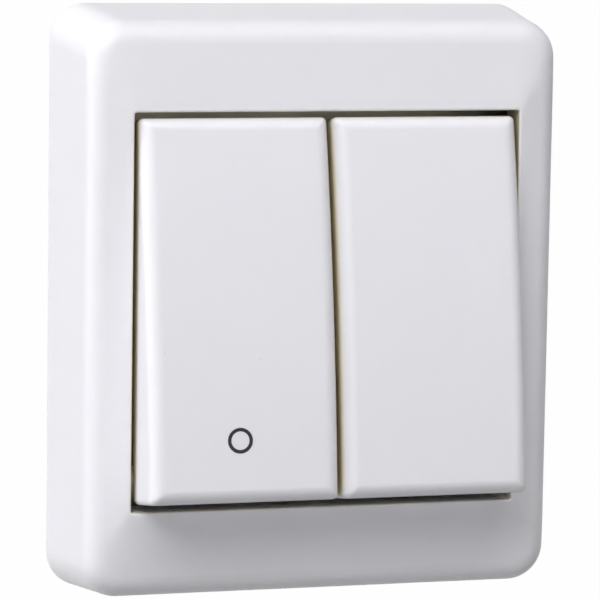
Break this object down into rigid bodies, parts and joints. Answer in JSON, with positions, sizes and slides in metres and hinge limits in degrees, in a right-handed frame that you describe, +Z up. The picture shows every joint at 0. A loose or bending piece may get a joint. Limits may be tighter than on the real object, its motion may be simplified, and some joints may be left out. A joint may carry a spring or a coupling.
{
  "type": "two-gang rocker light switch",
  "caption": "Flush wall light switch with two side by side rockers in a soft-edged square-shouldered cover frame, on a screw-fixed support plate.",
  "frame": {"origin": "centre of the fixing pattern, on the wall plane", "axes": "+Z up, +X to the right seen from the front, -Y out of the wall towards the user"},
  "size_m": [0.0724, 0.0454, 0.085],
  "materials": {
    "frame_plastic": "moulded, satin gloss white",
    "rocker_plastic": "moulded, satin gloss white",
    "insert_plastic": "moulded, matt, pale warm grey",
    "toggle_plastic": "moulded nylon, matt, off-white",
    "zinc_steel": "zinc plated sheet",
    "screw_steel": "zinc plated",
    "spring_steel": "drawn wire",
    "strip_brass": "stamped strip",
    "contact_silver": "polished silver alloy"
  },
  "bodies": {
    "housing": {"frame": "frame_plastic", "support_plate": "zinc_steel", "insert_base": "insert_plastic", "insert_cover": "insert_plastic", "housing_screws": "screw_steel", "common_bar": "strip_brass", "output_strip_left": "strip_brass", "output_strip_right": "strip_brass", "fixed_contact_left": "contact_silver", "fixed_contact_right": "contact_silver", "terminal_cages": "zinc_steel", "terminal_screws": "screw_steel"},
    "left_rocker": {"rocker_left": "rocker_plastic", "toggle_left": "toggle_plastic", "plunger_left": "toggle_plastic", "spring_left": "spring_steel"},
    "right_rocker": {"rocker_right": "rocker_plastic", "toggle_right": "toggle_plastic", "plunger_right": "toggle_plastic", "spring_right": "spring_steel"},
    "left_lever": {"contact_lever_left": "strip_brass", "moving_contact_left": "contact_silver"},
    "right_lever": {"contact_lever_right": "strip_brass", "moving_contact_right": "contact_silver"}
  },
  "joints": [
    {"name": "left_rocker_hinge", "type": "hinge", "parent": "housing", "child": "left_rocker", "pos_m": [-0.014, -0.0185, 0], "axis": [1, 0, 0], "range_deg": [0, 19]},
    {"name": "left_lever_hinge", "type": "hinge", "parent": "housing", "child": "left_lever", "pos_m": [-0.014, -0.004, 0], "axis": [1, 0, 0], "range_deg": [-12, 0]},
    {"name": "right_rocker_hinge", "type": "hinge", "parent": "housing", "child": "right_rocker", "pos_m": [0.014, -0.0185, 0], "axis": [1, 0, 0], "range_deg": [0, 19]},
    {"name": "right_lever_hinge", "type": "hinge", "parent": "housing", "child": "right_lever", "pos_m": [0.014, -0.004, 0], "axis": [1, 0, 0], "range_deg": [-12, 0]}
  ],
  "couplings": [
    {"joint": "left_lever_hinge", "follows": "left_rocker_hinge", "ratio": -0.631},
    {"joint": "right_lever_hinge", "follows": "right_rocker_hinge", "ratio": -0.631}
  ]
}
